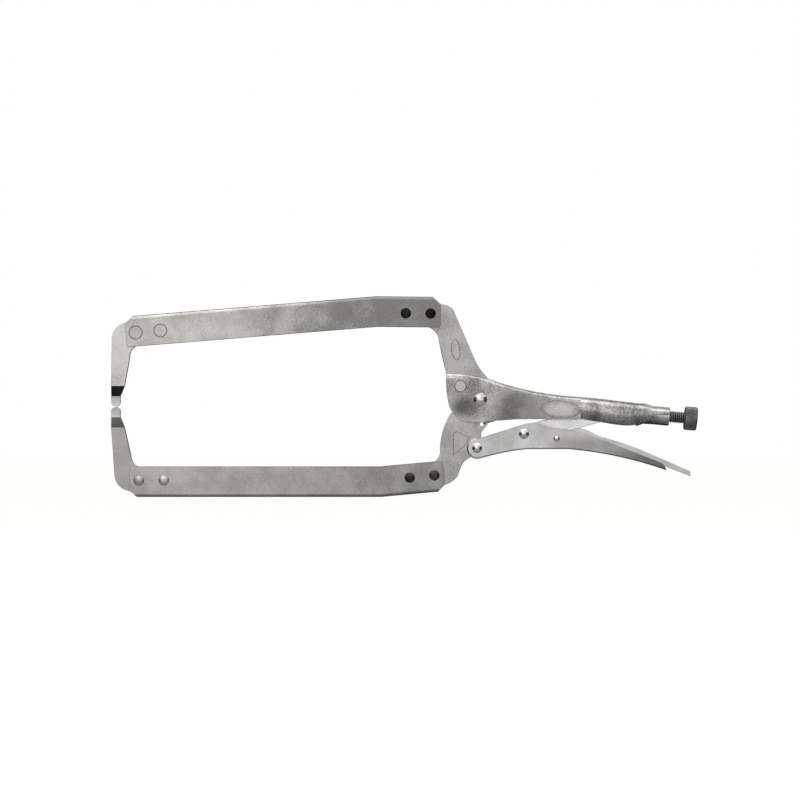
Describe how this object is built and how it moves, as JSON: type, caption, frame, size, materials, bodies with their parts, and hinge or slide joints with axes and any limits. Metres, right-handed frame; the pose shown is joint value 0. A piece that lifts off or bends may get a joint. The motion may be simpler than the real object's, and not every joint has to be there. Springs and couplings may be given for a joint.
{
  "type": "locking c clamp",
  "caption": "Long-reach locking C-clamp: two sheet-steel channel arms with forged tips, a toggle handle, a release lever and a knurled adjusting screw.",
  "frame": {"origin": "where the two closed jaw tips meet, in the middle of the tool's thickness", "axes": "+X from the jaw tips to the adjusting knob, +Z from the lower arm to the upper arm, +Y through the tool's thickness"},
  "size_m": [0.4553, 0.0186, 0.1557],
  "materials": {
    "plated_steel": "satin zinc plate",
    "forged_plated": "satin zinc plate over forging",
    "handle_plated": "bright nickel plate",
    "lever_plated": "satin nickel plate",
    "bright_rivet": "polished",
    "dark_rivet": "black oxide",
    "black_oxide": "black oxide",
    "spring_steel": "oiled spring wire"
  },
  "bodies": {
    "upper_handle_and_jaw": {"upper_handle": "handle_plated", "fixed_jaw_knee": "forged_plated", "upper_arm": "plated_steel", "upper_jaw_tip": "forged_plated", "upper_front_rivets": "bright_rivet", "upper_rear_rivets": "dark_rivet", "knee_rivet": "handle_plated", "main_pivot": "bright_rivet", "tension_spring": "spring_steel"},
    "moving_jaw": {"moving_jaw_knee": "forged_plated", "lower_arm": "plated_steel", "lower_jaw_tip": "forged_plated", "lower_front_rivets": "bright_rivet", "lower_rear_rivets": "dark_rivet"},
    "lower_handle": {"lower_handle": "lever_plated", "handle_pivot": "bright_rivet", "link_pivot": "bright_rivet", "lever_pin": "bright_rivet"},
    "toggle_link": {"toggle_link": "lever_plated"},
    "release_lever": {"release_lever": "lever_plated"},
    "stop_ring": {"screw_stop_ring": "black_oxide"},
    "adjusting_screw": {"adjusting_screw": "black_oxide", "screw_knob": "black_oxide"}
  },
  "joints": [
    {"name": "jaw_opening", "type": "hinge", "parent": "upper_handle_and_jaw", "child": "moving_jaw", "pos_m": [0.28267, 0, 0.00564], "axis": [0, -1, 0], "range_deg": [0, 30], "deforming": ["tension_spring"]},
    {"name": "lower_handle_swing", "type": "hinge", "parent": "moving_jaw", "child": "lower_handle", "pos_m": [0.28027, 0, -0.03206], "axis": [0, 1, 0], "range_deg": [0, 79.41]},
    {"name": "toggle_link_swing", "type": "hinge", "parent": "lower_handle", "child": "toggle_link", "pos_m": [0.31657, 0, -0.02106], "axis": [0, -1, 0], "range_deg": [0, 76.19]},
    {"name": "release_lever_lift", "type": "hinge", "parent": "lower_handle", "child": "release_lever", "pos_m": [0.34197, 0, -0.02466], "axis": [0, -1, 0], "range_deg": [0, 5]},
    {"name": "screw_feed", "type": "slide", "parent": "upper_handle_and_jaw", "child": "stop_ring", "axis": [0.9962, 0, -0.0872], "range_m": [-0.004, 0.011]},
    {"name": "knob_turn", "type": "hinge", "parent": "stop_ring", "child": "adjusting_screw", "pos_m": [0.38177, 0, -0.00356], "axis": [0.9962, 0, -0.0872], "range_deg": [-960.5, 2640.5]}
  ],
  "couplings": [
    {"joint": "lower_handle_swing", "follows": "jaw_opening", "ratio": 2.6436},
    {"joint": "toggle_link_swing", "follows": "jaw_opening", "ratio": 2.5363},
    {"joint": "knob_turn", "follows": "screw_feed", "rad_per_m": 4188.8}
  ]
}
